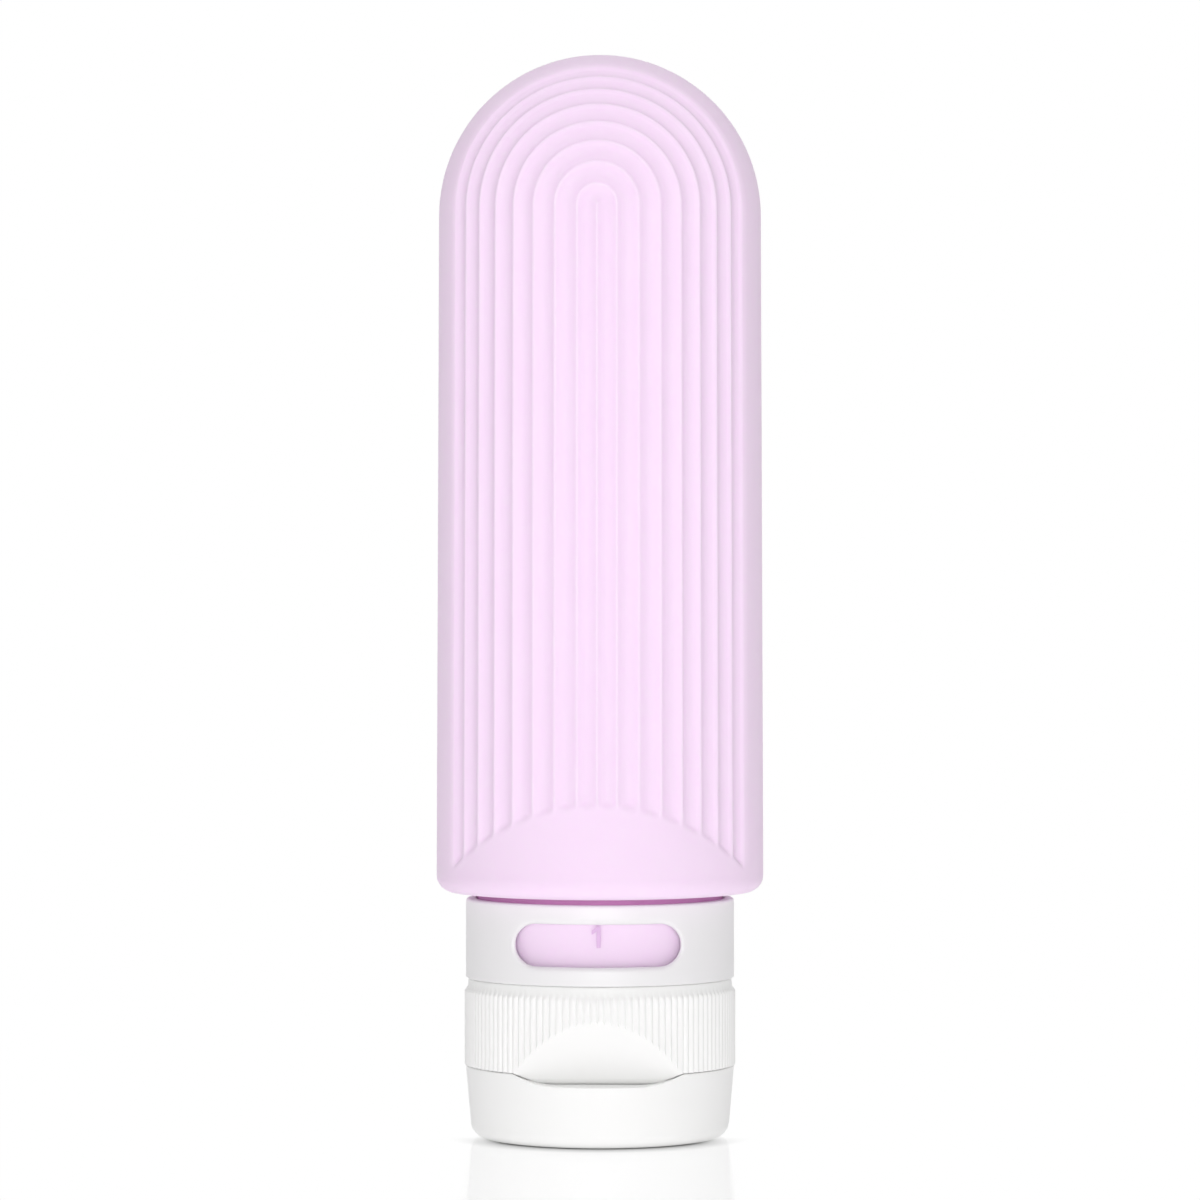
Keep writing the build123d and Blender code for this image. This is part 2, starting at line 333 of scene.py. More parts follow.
ring = edge_loop(bm)
foot_z = shoulder_z + foot_round
panel_top_z = panel_edge_z(0) + 2 * panel_edge_softness
levels = steps(dome_z, panel_top_z, side_rows)
levels += steps(panel_top_z, foot_z, round((panel_top_z - foot_z) / panel_row))
for z in levels:
    radius = dome_r + (base_r - dome_r) * (dome_z - z) / (dome_z - foot_z)
    ring = pull_ring(bm, ring, radius, z)

for v in bm.verts:
    rise = max(v.co.z - dome_z, 0)
    angle = degrees(atan2(hypot(v.co.x, rise), -v.co.y))
    above = ease((v.co.z - panel_edge_z(v.co.x)) / panel_edge_softness)
    near_front = 1 - ease((min(angle, 180 - angle) - panel_fade_start) / panel_fade_span)
    sunk = flute_depth * flute_share(angle) * above + panel_recess * (1 - above) * near_front
    sunk *= ease((v.co.z - foot_z + 0.001) / foot_fade)
    outward = Vector((v.co.x, v.co.y, rise)).normalized()
    v.co -= outward * sunk

side_in_r = base_r - body_wall
band_in_r = band_r - band_wall
floor_z = shoulder_z + body_floor
crown_in_r = dome_r - body_wall
outline = corner_arc(base_r - foot_round, foot_z, foot_round, 0, -90)[1:]
outline += corner_arc(band_r + neck_round, shoulder_z - neck_round, neck_round, 90, 90)
outline += [(band_r, band_low_z + lip_edge), (band_r - lip_edge, band_low_z)]
outline += [(band_in_r, band_low_z), (band_in_r, floor_z)]
outline += corner_arc(side_in_r - floor_round, floor_z + floor_round, floor_round, -90, 90)
outline += [(crown_in_r, dome_z)]
for radius, z in outline:
    ring = pull_ring(bm, ring, radius, z)

bmesh.ops.translate(hollow, verts=hollow.verts, vec=(0, 0, -dome_z))
bmesh.ops.scale(hollow, verts=hollow.verts, vec=[crown_in_r / dome_r] * 3)
bmesh.ops.translate(hollow, verts=hollow.verts, vec=(0, 0, dome_z))
take_in(bm, hollow)
close_up(bm)

bottle = finished(bm, "fluted_bottle", silicone, crisp_angle=60, weighted=False)
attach(bottle, "bottle")
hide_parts("squeeze_body")

# Numbers 1 to 5 round the neck band, one to each bottle of a set. They stand up from the
# silicone as a thin second shot of rubber, and read upright when the bottle stands on its lid.

# Silicone rubber of a second, more strongly pigmented shot: the same satin face, but deep
# enough in colour for the numbers to be read.
deep_silicone = silicone_rubber("silicone_rubber_second_shot", "E6C0EA", "E3BCE7")

digit_count = 5
digit_height = 2.6
digit_sill_z = 24.55
digit_rise = 0.25
digit_sink = 0.2
stroke_growth = 0.04
flagged_one = (
    (-0.1, 0), (0.35, 0), (0.35, 2.6), (-0.05, 2.6), (-0.7, 2.1), (-0.7, 1.6), (-0.1, 2.0),
)


def flat_number(text):
    """Number as a flat mesh; the 1 is drawn with its flag, which the built-in font lacks."""
    bm = bmesh.new()
    if text == "1":
        bm.faces.new([bm.verts.new((x, y, 0)) for x, y in flagged_one])
        return bm
    letters = bpy.data.curves.new("number", "FONT")
    letters.body = text
    letters.align_x = "CENTER"
    letters.offset = stroke_growth
    shape = bpy.data.objects.new("number", letters)
    bpy.context.scene.collection.objects.link(shape)
    bpy.context.view_layer.update()
    drawn = shape.evaluated_get(bpy.context.evaluated_depsgraph_get())
    flat = bpy.data.meshes.new_from_object(drawn)
    bpy.data.objects.remove(shape)
    bpy.data.curves.remove(letters)
    bm.from_mesh(flat)
    bpy.data.meshes.remove(flat)
    bmesh.ops.remove_doubles(bm, verts=bm.verts, dist=0.0005)
    bmesh.ops.dissolve_limit(bm, angle_limit=radians(1), verts=bm.verts, edges=bm.edges)
    return bm


def raised_number(text, turn):
    """Number given its height and thickness, set upright and bent round the band."""
    bm = flat_number(text)
    low = min(v.co.y for v in bm.verts)
    high = max(v.co.y for v in bm.verts)
    grow = digit_height / (high - low)
    for v in bm.verts:
        v.co = (v.co.x * grow, (v.co.y - low) * grow, digit_sink + digit_rise)
    walls = bmesh.ops.extrude_edge_only(bm, edges=edge_loop(bm))["geom"]
    for v in walls:
        if isinstance(v, bmesh.types.BMVert):
            v.co.z = 0.0
    bmesh.ops.holes_fill(bm, edges=edge_loop(bm))
    bmesh.ops.recalc_face_normals(bm, faces=bm.faces)
    for v in bm.verts:
        angle = v.co.x / band_r + turn
        radius = band_r - digit_sink + v.co.z
        v.co = (radius * sin(angle), -radius * cos(angle), digit_sill_z + v.co.y)
    return bm


numbers = bmesh.new()
for i in range(digit_count):
    take_in(numbers, raised_number(str(i + 1), 2 * pi * i / digit_count))
band_numbers = finished(numbers, "band_numbers", deep_silicone, crisp_angle=30, weighted=False)
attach(band_numbers, "bottle")

# Neck sleeve: the threaded tube inside the soft neck, with a flange under the collar and
# a rim that keeps it from pulling out. It is injection-moulded in polypropylene.

finish_r = 12.7
finish_bore_r = 11.2
flange_z = 20.0
flange_thickness = 0.8
flange_r = band_r
sleeve_r = 13.55
sleeve_bore_r = 11.95
keeper_z = floor_z + 0.05
keeper_r = 15.55
keeper_thickness = 1.2
mouth_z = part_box("neck_sleeve")[0].z * 1000
pitch = 3.0
neck_turns = 1.5
thread_depth = 0.8
thread_start_z = mouth_z + 0.8
thread_root_share = 0.25
thread_fade_turns = 0.125
thread_blunt_end = 0.15


def lathe(corners, count=128, round_steps=4):
    """Turns a closed outline of (radius, height, rounding) corners about the upright axis."""
    bm = bmesh.new()
    points = [bm.verts.new((r, 0, z)) for r, z, _ in corners]
    for i, point in enumerate(points):
        bm.edges.new((point, points[i - 1]))
    for point, (_, _, rounding) in zip(points, corners):
        if rounding:
            bmesh.ops.bevel(
                bm, geom=[point], offset=rounding, affect="VERTICES",
                segments=round_steps, profile=0.5, material=-1,
            )
    bmesh.ops.spin(
        bm, geom=bm.verts[:] + bm.edges[:], cent=(0, 0, 0), axis=(0, 0, 1), dvec=(0, 0, 0),
        angle=pi / 4, steps=count // 8, use_merge=False,
    )
    for turn in (pi / 4, pi / 2, pi):
        copied = bmesh.ops.duplicate(bm, geom=bm.verts[:] + bm.edges[:] + bm.faces[:])["geom"]
        bmesh.ops.rotate(
            bm, verts=[v for v in copied if isinstance(v, bmesh.types.BMVert)],
            cent=(0, 0, 0), matrix=Matrix.Rotation(turn, 3, "Z"),
        )
    close_up(bm)
    return bm


def thread(root_r, crest_r, start_z, turns, per_turn=72, root_width=1.1, crest_width=0.6):
    """Right-hand ridge whose section is drawn up round the axis and fades out at both ends."""
    bm = bmesh.new()
    sink = (root_r - crest_r) * thread_root_share
    section = [
        bm.verts.new((r, 0, start_z + z))
        for r, z in (
            (root_r + sink, -root_width / 2),
            (crest_r, -crest_width / 2),
            (crest_r, crest_width / 2),
            (root_r + sink, root_width / 2),
        )
    ]
    face = bm.faces.new(section)
    count = round(per_turn * turns)
    bmesh.ops.spin(
        bm, geom=[face] + list(face.edges) + section, cent=(0, 0, 0), axis=(0, 0, 1),
        dvec=(0, 0, pitch * turns / count), angle=2 * pi * turns, steps=count, use_merge=False,
    )
    for v in bm.verts:
        radius = hypot(v.co.x, v.co.y)
        turned = (v.co.z - start_z) / (pitch * turns)
        fade = ease(min(turned, 1 - turned) * turns / thread_fade_turns + thread_blunt_end)
        target = root_r + sink + (radius - root_r - sink) * fade
        v.co.x *= target / radius
        v.co.y *= target / radius
    bmesh.ops.recalc_face_normals(bm, faces=bm.faces)
    return bm


# Polypropylene, injection-moulded in a polished mould: bright, slightly milky and glossy.
clear_white_pp, tree = new_material("polypropylene_glossy_moulded")
skin = add_node(
    tree, "ShaderNodeBsdfPrincipled",
    {
        "Base Color": moulded_colour(tree, "F3F3F5", "F0F0F2", patch_mm=12.0),
        "Roughness": 0.3,
        "IOR": 1.49,
        "Subsurface Weight": 0.2,
        "Subsurface Radius": (1.0, 1.0, 1.0),
        "Subsurface Scale": 0.0008,
        "Normal": spark_texture(tree, grain_mm=0.5, depth_mm=0.003, strength=0.3),
    },
    subsurface_method="RANDOM_WALK",
)
add_node(tree, "ShaderNodeOutputMaterial", {"Surface": skin.outputs["BSDF"]})

flange_top_z = flange_z + flange_thickness
bm = lathe([
    (finish_bore_r, mouth_z, 0.2),
    (finish_r, mouth_z, 0.2),
    (finish_r, flange_z, 0.15),
    (flange_r, flange_z, 0.15),
    (flange_r, flange_top_z, 0.15),
    (sleeve_r, flange_top_z, 0),
    (sleeve_r, keeper_z, 0),
    (keeper_r, keeper_z, 0.2),
    (keeper_r, keeper_z + keeper_thickness, 0.3),
    (sleeve_bore_r, keeper_z + keeper_thickness, 0.3),
    (sleeve_bore_r, flange_top_z, 0),
    (finish_bore_r, flange_z, 0),
])
take_in(bm, thread(finish_r, finish_r + thread_depth, thread_start_z, neck_turns))
sleeve = finished(bm, "threaded_neck", clear_white_pp)
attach(sleeve, "bottle")
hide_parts("neck_sleeve")

# Number collar: a ring that turns on the neck and shows one number through its window.
# It is injection-moulded in polypropylene, and a bead inside snaps over the neck's band.

collar_low, collar_high = (corner * 1000 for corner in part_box("label_collar"))
collar_r = collar_high.x
collar_bore_r = band_r + 0.3
collar_z = collar_low.z
collar_top_z = collar_high.z
bead_r = band_r - 0.4
bead_z = 20.95
bead_thickness = 0.65
bead_edge = 0.15
window_half_width = 10.1
window_height = 5.2
window_low_z = 22.2
window_rim = 0.6
inner_rim = 0.3
rim_margin = 0.2
collar_skin = 0.5
straight_columns = 14
window_end_columns = 12
gaps_beside_window = (0.4, 1.0, 1.9, 3.2, 5.0, 7.5, 10.5)
back_columns = 44
fade_beside_window = 3.0
rim_steps = 5
top_round = 0.4
foot_edge = 0.12

# Polypropylene, injection-moulded with a satin wall: white, soft in its reflections, and
# thin enough for a little light to spread in it.
collar_pp, tree = new_material("polypropylene_satin_collar")
skin = add_node(
    tree, "ShaderNodeBsdfPrincipled",
    {
        "Base Color": moulded_colour(tree, "EFEEEF", "ECEBEC", patch_mm=10.0),
        "Roughness": 0.36,
        "IOR": 1.49,
        "Subsurface Weight": 0.25,
        "Subsurface Radius": (1.0, 0.95, 1.0),
        "Subsurface Scale": 0.001,
        "Normal": spark_texture(tree, grain_mm=0.35, depth_mm=0.004, strength=0.35),
    },
    subsurface_method="RANDOM_WALK",
)
add_node(tree, "ShaderNodeOutputMaterial", {"Surface": skin.outputs["BSDF"]})

middle_z = window_low_z + window_height / 2
straight_half = window_half_width - window_height / 2
hole_half = window_height / 2 + window_rim
seam_half = 0.001


def hole_half_height(x):
    """Half of the hole's height in the wall, before its rim is rounded in to the window."""
    past = max(abs(x) - straight_half, 0)
    return sqrt(max(hole_half**2 - past**2, 0))


def collar_columns():
    """Angles of the collar's columns, outside and inside, for a window cut straight through."""
    places = [0.0] + steps(0, straight_half, straight_columns)
    for a in steps(0, 90, window_end_columns):
        places.append(straight_half + hole_half * sin(radians(a)))
    half = [(degrees(asin(x / collar_r)), degrees(asin(x / collar_bore_r))) for x in places]
    end_outside, end_inside = half[-1]
    beyond = [end_outside + gap for gap in gaps_beside_window]
    beyond += steps(beyond[-1], 180, back_columns)
    half += [(a, 180 - (180 - a) * (180 - end_inside) / (180 - end_outside)) for a in beyond]
    return half + [(360 - a, 360 - b) for a, b in reversed(half[1:-1])]


def draw_in(v, inset, radius):
    """Moves a point of the hole's edge in towards the window's middle line and to a radius."""
    up = v.co.z - middle_z
    centre = max(-straight_half, min(straight_half, v.co.x))
    reach = (hole_half - inset) / hypot(v.co.x - centre, up)
    x = centre + (v.co.x - centre) * reach
    v.co = (x, -sqrt(radius**2 - x**2), middle_z + up * reach)


columns = collar_columns()
outer_top = corner_arc(collar_r - top_round, collar_top_z - top_round, top_round, 0, 90, 5)
outer_foot = corner_arc(collar_r - foot_edge, collar_z + foot_edge, foot_edge, -90, 90, 4)
bead_top_z = bead_z + bead_thickness
outline = [(collar_r, middle_z + seam_half), (collar_r, middle_z + hole_half + rim_margin)]
outline += outer_top
outline += [
    (collar_bore_r, collar_top_z),
    (collar_bore_r, middle_z + hole_half + rim_margin),
    (collar_bore_r, middle_z + seam_half),
    (collar_bore_r, middle_z - seam_half),
    (collar_bore_r, bead_top_z),
    (bead_r + bead_edge, bead_top_z),
    (bead_r, bead_top_z - bead_edge),
    (bead_r, bead_z + bead_edge),
    (bead_r + bead_edge, bead_z),
    (collar_bore_r, bead_z),
    (collar_bore_r, collar_z),
]
outline += outer_foot
outline += [(collar_r, middle_z - hole_half - rim_margin), (collar_r, middle_z - seam_half)]
bm = bmesh.new()
points = [bm.verts.new((0, -r, z)) for r, z in outline]
links = [bm.edges.new((points[i], points[i - 1])) for i in range(len(points))]
bmesh.ops.spin(
    bm, geom=points + links, cent=(0, 0, 0), axis=(0, 0, 1), dvec=(0, 0, 0),
    angle=2 * pi, steps=len(columns), use_merge=True,
)
hole = set()
for v in bm.verts:
    radius = hypot(v.co.x, v.co.y)
    column = round((atan2(v.co.x, -v.co.y) % (2 * pi)) / (2 * pi) * len(columns)) % len(columns)
    angle = columns[column][0 if radius > collar_r - collar_skin else 1]
    v.co.x = radius * sin(radians(angle))
    v.co.y = -radius * cos(radians(angle))
    if abs(v.co.z - middle_z) < 0.01:
        aside = abs(v.co.x) if v.co.y < 0 else collar_r
        past = aside - straight_half - hole_half
        if past < -0.001:
            hole.add(v)
        half = hole_half_height(aside) + hole_half * min(max(past, 0) / fade_beside_window, 1)
        v.co.z = middle_z + (half if v.co.z > middle_z else -half)
cut_away = [f for f in bm.faces if sum(v in hole for v in f.verts) > 2]
bmesh.ops.delete(bm, geom=cut_away, context="FACES_ONLY")
bmesh.ops.remove_doubles(bm, verts=bm.verts, dist=0.0005)
rims = edge_loop(bm)
for start_r, depth in ((collar_r, -window_rim), (collar_bore_r, inner_rim)):
    ring = [e for e in rims if abs(hypot(e.verts[0].co.x, e.verts[0].co.y) - start_r) < 0.01]
    for a in steps(0, 90, rim_steps):
        pulled = bmesh.ops.extrude_edge_only(bm, edges=ring)["geom"]
        ring = [e for e in pulled if isinstance(e, bmesh.types.BMEdge)]
        for v in pulled:
            if isinstance(v, bmesh.types.BMVert):
                draw_in(v, window_rim * sin(radians(a)), start_r + depth * (1 - cos(radians(a))))
bmesh.ops.bridge_loops(bm, edges=edge_loop(bm))
close_up(bm)
collar = finished(bm, "number_collar", collar_pp)
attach(collar, "collar")
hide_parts("label_collar")

# Neck gasket: a flat ring that seals the bottle's mouth against the cap's seat.
# It is punched from soft thermoplastic sheet.

gasket_low, gasket_high = (corner * 1000 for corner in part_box("neck_gasket"))

# Thermoplastic elastomer, punched from sheet: milky, matte and a little grainy.
elastomer, tree = new_material("elastomer_matte_sheet")
skin = add_node(
    tree, "ShaderNodeBsdfPrincipled",
    {
        "Base Color": moulded_colour(tree, "E6E6E8", "E0E0E3", patch_mm=3.0),
        "Roughness": 0.55,
        "IOR": 1.45,
        "Subsurface Weight": 0.4,
        "Subsurface Radius": (1.0, 1.0, 1.0),
        "Subsurface Scale": 0.0008,
        "Normal": spark_texture(tree, grain_mm=0.25, depth_mm=0.01, strength=0.5),
    },
    subsurface_method="RANDOM_WALK",
)
add_node(tree, "ShaderNodeOutputMaterial", {"Surface": skin.outputs["BSDF"]})

bm = lathe([
    (finish_bore_r + 0.1, gasket_low.z, 0.15),
    (gasket_high.x, gasket_low.z, 0.15),
    (gasket_high.x, gasket_high.z, 0.15),
    (finish_bore_r + 0.1, gasket_high.z, 0.15),
], round_steps=3)
gasket = finished(bm, "mouth_gasket", elastomer)
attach(gasket, "gasket")
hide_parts("neck_gasket")

# Screw cap: fine upright ribs for grip, a thumb hollow at the front, the thread, and the
# spout that the lid's plug closes. It is injection-moulded in white polypropylene.

parting_z = 9.05
cap_top_z = 19.85
rib_count = 120
rib_columns = 6
rib_r = 16.9
rib_depth = 0.28
rib_top_z = 18.2
rib_end_z = 18.7
rib_end_r = 16.5
shoulder_r = 16.4
cap_bore_r = 13.7
seat_z = gasket_low.z
deck_z = 7.05
deck_top_z = 8.55
deck_r = 15.1
recess_r = 10.6
spout_z = 5.5
spout_bore_r = 3.7
spout_r = 5.2
boss_in_r = 6.25
boss_r = 7.45
boss_top_z = 10.4
scoop_rise = 6.75
scoop_depth = 3.57
scoop_foot = ((0, 0), (7.4, 9), (7.75, 20), (8.05, 32))
notch_drop = 1.3
notch_flat = 5.0
cap_turns = 1.0
thread_play = 0.2
front_y = -9.0


def notch_depth(x):
    """How far the cap's skirt, and the notch it fills, dip at a distance from the middle."""
    half_width = sqrt(rib_r**2 - (rib_r - scoop_depth) ** 2)
    run = half_width - notch_flat
    sweep_r = (run**2 + notch_drop**2) / (2 * notch_drop)
    past = min(max(abs(x) - notch_flat, 0), run)
    return notch_drop - (sweep_r - sqrt(sweep_r**2 - past**2))


# Polypropylene, injection-moulded in a fine spark-eroded mould: opaque white with a satin
# face that blurs what it reflects.
cap_pp, tree = new_material("polypropylene_satin_cap")
skin = add_node(
    tree, "ShaderNodeBsdfPrincipled",
    {
        "Base Color": moulded_colour(tree, "F6F6F5", "F4F4F3", patch_mm=10.0),
        "Roughness": 0.42,
        "IOR": 1.49,
        "Subsurface Weight": 0.15,
        "Subsurface Radius": (1.0, 1.0, 1.0),
        "Subsurface Scale": 0.0006,
        "Normal": spark_texture(tree, grain_mm=0.3, depth_mm=0.005, strength=0.4),
    },
    subsurface_method="RANDOM_WALK",
)
add_node(tree, "ShaderNodeOutputMaterial", {"Surface": skin.outputs["BSDF"]})

bm = lathe([
    (spout_bore_r, deck_top_z, 0.15),
    (spout_bore_r, spout_z, 0.25),
    (spout_r, spout_z, 0.3),
    (spout_r, deck_z, 0.15),
    (deck_r, deck_z, 0.2),
    (deck_r, parting_z, 0),
    (rib_r, parting_z, 0),
    (rib_r, rib_top_z, 0),
    (rib_end_r, rib_end_z, 0),
    (shoulder_r, cap_top_z, 0.35),
    (cap_bore_r, cap_top_z, 0.25),
    (cap_bore_r, seat_z, 0),
    (recess_r, seat_z, 0.2),
    (recess_r, deck_top_z, 0.2),
    (boss_r, deck_top_z, 0),
    (boss_r, boss_top_z, 0.2),
    (boss_in_r, boss_top_z, 0.2),
    (boss_in_r, deck_top_z, 0),
], count=rib_count * rib_columns)
for v in bm.verts:
    radius = hypot(v.co.x, v.co.y)
    if v.co.y < front_y and radius > deck_r - 0.01 and abs(v.co.z - parting_z) < 0.01:
        v.co.z -= notch_depth(v.co.x)
    if radius > rib_r - 0.01:
        place = (atan2(v.co.y, v.co.x) / (2 * pi) * rib_count) % 1.0
        ribbed_r = rib_r - rib_depth * (2 * place - 1) ** 2
        v.co.x *= ribbed_r / radius
        v.co.y *= ribbed_r / radius
slope = scoop_depth / scoop_rise
for drop, further in scoop_foot:
    lean = atan2(scoop_depth, scoop_rise) + radians(further)
    held_at = Vector((0, -rib_r + slope * drop, parting_z + scoop_rise - drop))
    near = [f for f in bm.faces if min(v.co.y for v in f.verts) < front_y]
    geom = set(near)
    for f in near:
        geom.update(f.edges)
        geom.update(f.verts)
    bmesh.ops.bisect_plane(
        bm, geom=list(geom), dist=0.0001, plane_co=held_at, plane_no=(0, -cos(lean), -sin(lean)),
        clear_outer=True, clear_inner=False,
    )
    bmesh.ops.holes_fill(bm, edges=edge_loop(bm))
close_up(bm)
take_in(bm, thread(cap_bore_r, finish_r + thread_play, thread_start_z + pitch / 2, cap_turns))
cap = finished(bm, "ribbed_cap", cap_pp)
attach(cap, "cap")
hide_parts("screw_cap")

# Slit valve: a soft disc with a crossed slit that opens when the bottle is squeezed. It is
# moulded in the gasket's milky elastomer, cut with a blade, and sits in the cap's boss.

valve_low, valve_high = (corner * 1000 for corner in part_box("slit_valve"))
valve_r = valve_high.x
valve_rim = 1.6
valve_skin = 0.45
slit_half = 2.4
slit_gap = 0.16

bm = lathe([
    (0, valve_low.z, 0),
    (slit_half, valve_low.z, 0),
    (valve_r, valve_low.z, 0.15),
    (valve_r, valve_high.z, 0.15),
    (valve_r - valve_rim, valve_high.z, 0.15),
    (valve_r - valve_rim, valve_low.z + valve_skin, 0.1),
    (slit_half, valve_low.z + valve_skin, 0),
    (0, valve_low.z + valve_skin, 0),
], count=64, round_steps=3)


def on_cross(v):
    """Whether a point of the disc lies on one of the two lines of the slit."""
    return hypot(v.co.x, v.co.y) < slit_half + 0.01 and min(abs(v.co.x), abs(v.co.y)) < 0.001


cross = [
    e for e in bm.edges
    if on_cross(e.verts[0]) and on_cross(e.verts[1])
    and abs(e.verts[0].co.z - e.verts[1].co.z) < 0.001
]
opened = bmesh.ops.bevel(
    bm, geom=cross, offset=slit_gap / 2, affect="EDGES", segments=1, profile=0.5, material=-1,
)
bmesh.ops.delete(bm, geom=opened["faces"], context="FACES")
bmesh.ops.bridge_loops(bm, edges=edge_loop(bm))
close_up(bm)
valve = finished(bm, "slit_valve_disc", elastomer)
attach(valve, "cap")
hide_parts("slit_valve")

# Valve retainer: a plain ring pressed into the boss behind the valve, which holds the
# valve's rim down on the cap's deck. It is injection-moulded in polypropylene.

keep_low, keep_high = (corner * 1000 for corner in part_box("valve_retainer"))

bm = lathe([
    (keep_high.x - valve_rim, keep_low.z, 0.1),
    (keep_high.x, keep_low.z, 0.1),
    (keep_high.x, keep_high.z, 0.2),
    (keep_high.x - valve_rim, keep_high.z, 0.2),
], count=96, round_steps=3)
retainer = finished(bm, "pressed_ring", clear_white_pp)
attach(retainer, "cap")
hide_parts("valve_retainer")

# Flip lid: a shallow tapered cup that the bottle stands on. A notch in its rim and a ledge
# inside give the thumb a hold, and a hollow plug closes the spout. It is moulded in the
# same shot as the cap, in white polypropylene.

lid_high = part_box("flip_lid")[1] * 1000
lid_rim_r = 16.75
lid_height = lid_high.z
lid_lean = tan(radians(5))
lid_wall = 1.3
lid_plate = 1.4
lid_corner = 1.615
lid_inner_r = lid_rim_r - lid_wall
lip_reach = 2.85
lip_height = 2.4
lip_seam = 0.002
lid_skin = 0.6
notch_foot_z = 4.2
plug_r = 3.4
plug_wall = 1.0
plug_top_z = spout_z + 1.5
lid_columns = 360

lip_z = lid_height - lip_height
wall_r_at_lip = lid_inner_r - lip_height * lid_lean
bm = lathe([
    (0, 0, 0),
    (lid_rim_r - lid_height * lid_lean, 0, lid_corner),
    (lid_rim_r, lid_height, 0.18),
    (lid_inner_r, lid_height, 0.3),
    (wall_r_at_lip, lip_z, 0),
    (wall_r_at_lip - lip_seam, lip_z - lip_seam, 0),
    (lid_inner_r - (lid_height - lid_plate) * lid_lean, lid_plate, 0.8),
    (plug_r, lid_plate, 0.2),
    (plug_r, plug_top_z, 0.3),
    (plug_r - plug_wall, plug_top_z, 0.3),
    (plug_r - plug_wall, lid_plate, 0.2),
    (0, lid_plate, 0),
], count=lid_columns, round_steps=6)
for v in bm.verts:
    radius = hypot(v.co.x, v.co.y)
    on_wall = wall_r_at_lip - lip_seam / 2 < radius < lid_rim_r - lid_skin
    if on_wall and v.co.z > lip_z - lip_seam / 2 and v.co.y < 0:
        wall_y = -sqrt(lid_inner_r**2 - min(abs(v.co.x), lid_inner_r) ** 2)
        v.co.y += max(lip_reach - lid_inner_r - wall_y, 0)
for v in bm.verts:
    if v.co.y < front_y and v.co.z > notch_foot_z:
        share = (v.co.z - notch_foot_z) / (lid_height - notch_foot_z)
        v.co.z -= notch_depth(v.co.x) * share
lid = finished(bm, "flip_lid_cup", cap_pp)
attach(lid, "lid")
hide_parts("flip_lid")

# Hinge web: the flexible strip at the back that joins the lid to the cap, moulded in one
# with them in polypropylene and thinned at its middle so that it folds without tiring.

web_half_width = 4.5
web_back = 17.2
web_depth = 1.3
web_reach = 1.6
web_thin = 0.4
web_thin_half = 0.35
web_taper = 0.75
web_overlap = 0.05
web_edge = 0.12
web_cuts = 31
hinge_z = 9.0

bm = bmesh.new()
bmesh.ops.create_cube(bm, size=1.0)
for v in bm.verts:
    v.co = (
        v.co.x * 2 * web_half_width,
        web_back - web_depth * (0.5 - v.co.y),
        hinge_z + v.co.z * 2 * (web_reach + web_overlap),
    )
upright = [e for e in bm.edges if abs(e.verts[0].co.z - e.verts[1].co.z) > 1]
bmesh.ops.subdivide_edges(bm, edges=upright, cuts=web_cuts, use_grid_fill=True)
bmesh.ops.recalc_face_normals(bm, faces=bm.faces)
for v in bm.verts:
    away = abs(v.co.z - hinge_z)
    depth = web_thin + (web_depth - web_thin) * ease((away - web_thin_half) / web_taper)
    inside = (web_back - v.co.y) / web_depth
    v.co.y = web_back - inside * depth
bmesh.ops.bevel(
    bm, geom=[e for e in bm.edges if e.calc_face_angle(0) > radians(60)], offset=web_edge,
    affect="EDGES", segments=3, profile=0.5, material=-1,
)
close_up(bm, gap=0.002)
web = finished(bm, "hinge_strip", cap_pp)
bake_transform(web)

# Studio: a white sweep, even white walls all round, a large soft lamp at the front and a
# weaker one overhead. None of it belongs to the bottle.

floor_r = 700.0
floor_drop = 0.02
near_r = 60.0
far_r = 260.0
table_glow = 0.31
shade_reach = 0.0035
shade_depth = 0.7
shade_start_y = -2.0
shade_full_y = -9.0
floor_gloss = 0.35
wall_light = 0.43

sweep_paint, tree = new_material("studio_sweep_paint")
place = add_node(tree, "ShaderNodeTexCoord")
away = add_node(tree, "ShaderNodeVectorMath", {0: place.outputs["Object"]}, operation="LENGTH")
distant = add_node(
    tree, "ShaderNodeMapRange",
    {"Value": away.outputs["Value"], "From Min": near_r / 1000, "From Max": far_r / 1000},
    interpolation_type="SMOOTHSTEP",
)
near_shade = add_node(tree, "ShaderNodeAmbientOcclusion", {"Distance": shade_reach}, samples=8)
full_shade = add_node(
    tree, "ShaderNodeMath", {0: near_shade.outputs["AO"], 1: shade_depth}, operation="POWER",
)
across = add_node(tree, "ShaderNodeSeparateXYZ", {"Vector": place.outputs["Object"]})
in_front = add_node(
    tree, "ShaderNodeMapRange",
    {
        "Value": across.outputs["Y"],
        "From Min": shade_start_y / 1000,
        "From Max": shade_full_y / 1000,
    },
)
shade = add_node(
    tree, "ShaderNodeMix",
    {"Factor": in_front.outputs["Result"], "A": 1.0, "B": full_shade.outputs[0]},
)
shaded_glow = add_node(
    tree, "ShaderNodeMath", {0: shade.outputs["Result"], 1: table_glow}, operation="MULTIPLY",
)
matt = add_node(tree, "ShaderNodeBsdfDiffuse", {"Color": linear("F6F6F6")})
glow = add_node(
    tree, "ShaderNodeEmission", {"Color": (1, 1, 1, 1), "Strength": shaded_glow.outputs[0]},
)
table = add_node(tree, "ShaderNodeAddShader", {0: matt.outputs[0], 1: glow.outputs[0]})
bright = add_node(
    tree, "ShaderNodeEmission", {"Color": (1, 1, 1, 1), "Strength": shade.outputs["Result"]},
)
gloss = add_node(tree, "ShaderNodeBsdfGlossy", {"Color": (1, 1, 1, 1), "Roughness": 0.12})
lit = add_node(
    tree, "ShaderNodeMixShader", {0: floor_gloss, 1: bright.outputs[0], 2: gloss.outputs[0]},
)
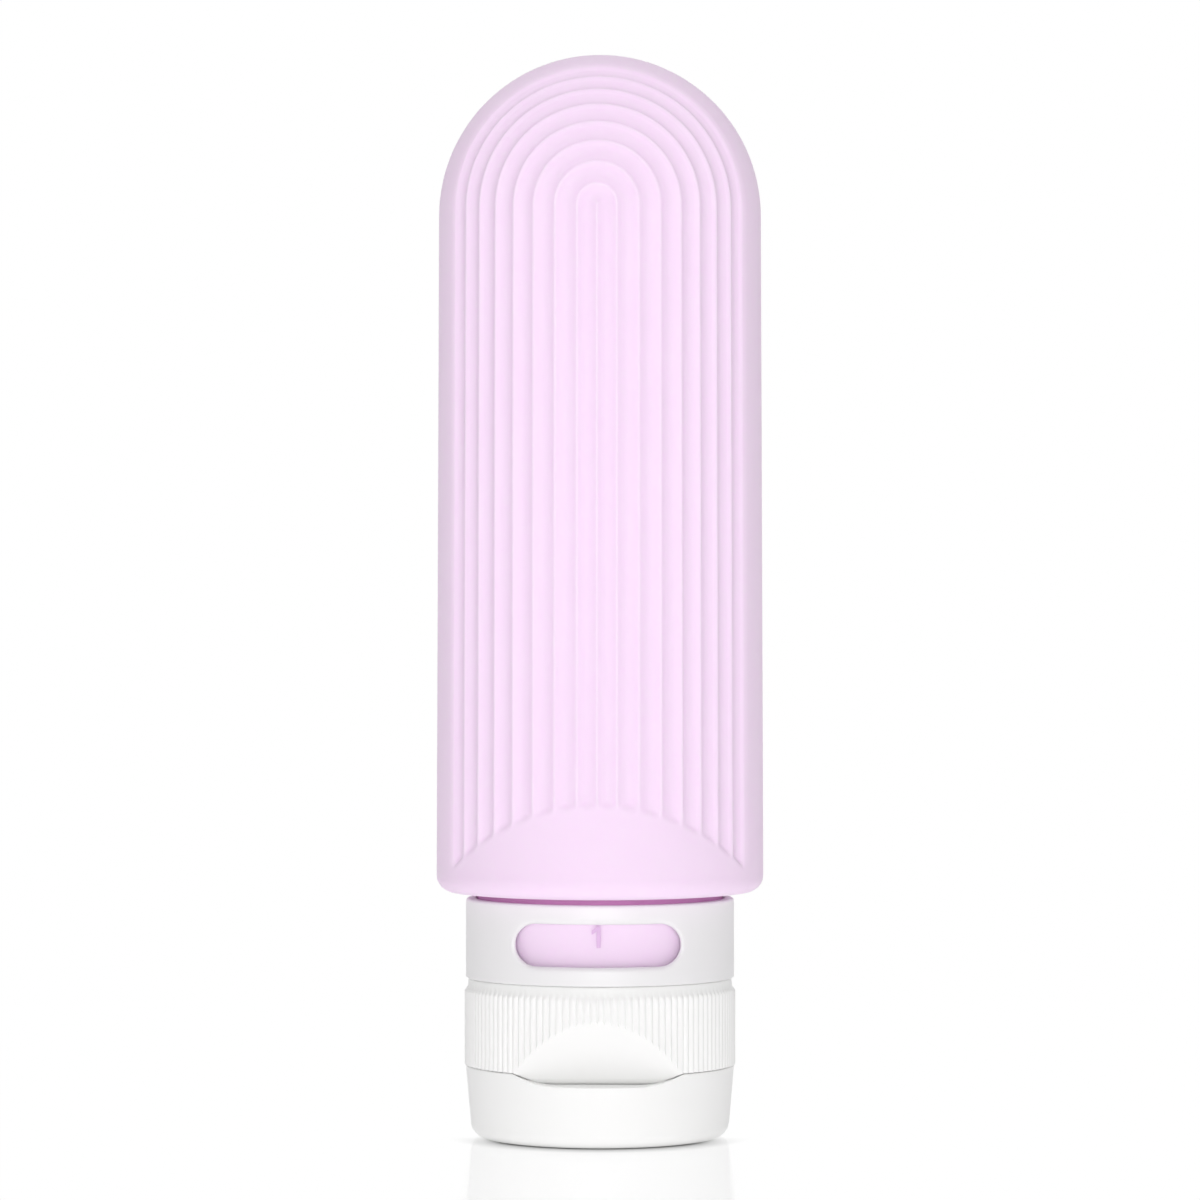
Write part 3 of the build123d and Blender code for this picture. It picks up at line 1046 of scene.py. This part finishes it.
white = add_node(tree, "ShaderNodeEmission", {"Color": (1, 1, 1, 1), "Strength": 1.0})
seen = add_node(
    tree, "ShaderNodeMixShader", {0: distant.outputs[0], 1: lit.outputs[0], 2: white.outputs[0]},
)
path = add_node(tree, "ShaderNodeLightPath")
either = add_node(
    tree, "ShaderNodeMixShader",
    {0: path.outputs["Is Camera Ray"], 1: table.outputs[0], 2: seen.outputs[0]},
)
add_node(tree, "ShaderNodeOutputMaterial", {"Surface": either.outputs[0]})

bm = bmesh.new()
bmesh.ops.create_circle(bm, cap_ends=True, radius=floor_r, segments=128)
bmesh.ops.translate(bm, verts=bm.verts, vec=(0, 0, -floor_drop))
sweep = finished(bm, "studio_sweep", sweep_paint, weighted=False)

room = bpy.data.worlds.new("white_room")
bpy.context.scene.world = room
room.use_nodes = True
tree = room.node_tree
tree.nodes.clear()
path = add_node(tree, "ShaderNodeLightPath")
mirrored = add_node(
    tree, "ShaderNodeMath",
    {0: path.outputs["Is Camera Ray"], 1: path.outputs["Is Glossy Ray"]},
    operation="MAXIMUM",
)
seen = add_node(
    tree, "ShaderNodeMath",
    {0: mirrored.outputs[0], 1: path.outputs["Is Transmission Ray"]},
    operation="MAXIMUM",
)
strength = add_node(
    tree, "ShaderNodeMapRange",
    {"Value": seen.outputs[0], "To Min": wall_light, "To Max": 1.0},
)
backdrop = add_node(
    tree, "ShaderNodeBackground", {"Color": (1, 1, 1, 1), "Strength": strength.outputs[0]},
)
add_node(tree, "ShaderNodeOutputWorld", {"Surface": backdrop.outputs[0]})


def soft_lamp(name, power, width, height, place, target, colour="FFFFFF"):
    """Rectangular lamp aimed at a point, all in metres and watts."""
    light = bpy.data.lights.new(name, "AREA")
    light.shape = "RECTANGLE"
    light.size = width
    light.size_y = height
    light.energy = power
    light.color = linear(colour)[:3]
    lamp = bpy.data.objects.new(name, light)
    lamp.location = place
    lamp.rotation_euler = (Vector(target) - Vector(place)).to_track_quat("-Z", "Y").to_euler()
    bpy.context.scene.collection.objects.link(lamp)
    return lamp


soft_lamp("front_softbox", 6.0, 0.8, 0.36, (0.02, -1.2, 0.12), (0, 0, 0.06))
soft_lamp("top_softbox", 2.0, 0.5, 0.5, (0, -0.12, 1.0), (0, 0, 0.1))

camera_distance = 0.5875
camera_height = 0.0669
camera_turn = radians(1.1)
lens = bpy.data.cameras.new("camera")
lens.lens = 141
lens.sensor_width = 36
camera = bpy.data.objects.new("camera", lens)
camera.location = (
    camera_distance * sin(camera_turn), -camera_distance * cos(camera_turn), camera_height,
)
camera.rotation_euler = (pi / 2, 0, camera_turn)
bpy.context.scene.collection.objects.link(camera)
bpy.context.scene.camera = camera
bpy.context.scene.view_settings.view_transform = "Standard"
